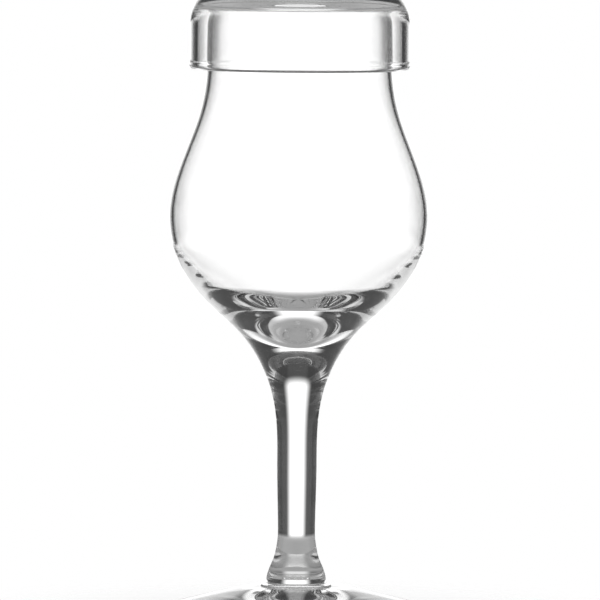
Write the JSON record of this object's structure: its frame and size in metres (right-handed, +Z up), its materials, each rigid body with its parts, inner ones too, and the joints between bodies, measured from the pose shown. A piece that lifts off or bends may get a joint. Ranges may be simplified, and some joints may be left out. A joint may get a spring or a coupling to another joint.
{
  "type": "lidded whisky glass",
  "caption": "Clear stemmed tulip glass for nosing whisky: round belly drawn in to a straight neck, solid waisted stem, coned foot and a loose glass cap lid over the rim.",
  "frame": {"origin": "on the table under the middle of the foot", "axes": "+Z up the axis of the glass, from the foot to the lid; X and Y lie in the table, and the glass is round about Z"},
  "size_m": [0.066, 0.066, 0.1619],
  "materials": {
    "goblet_glass": "clear colourless glass, fire polished and bright",
    "lid_glass": "clear colourless pressed glass, polished"
  },
  "bodies": {
    "goblet": {"bowl": "goblet_glass", "stem": "goblet_glass", "foot": "goblet_glass"},
    "lid": {"lid": "lid_glass"}
  },
  "joints": [
    {"name": "lid_lift", "type": "slide", "parent": "goblet", "child": "lid", "axis": [0, 0, 1], "range_m": [0, 0.03]}
  ]
}
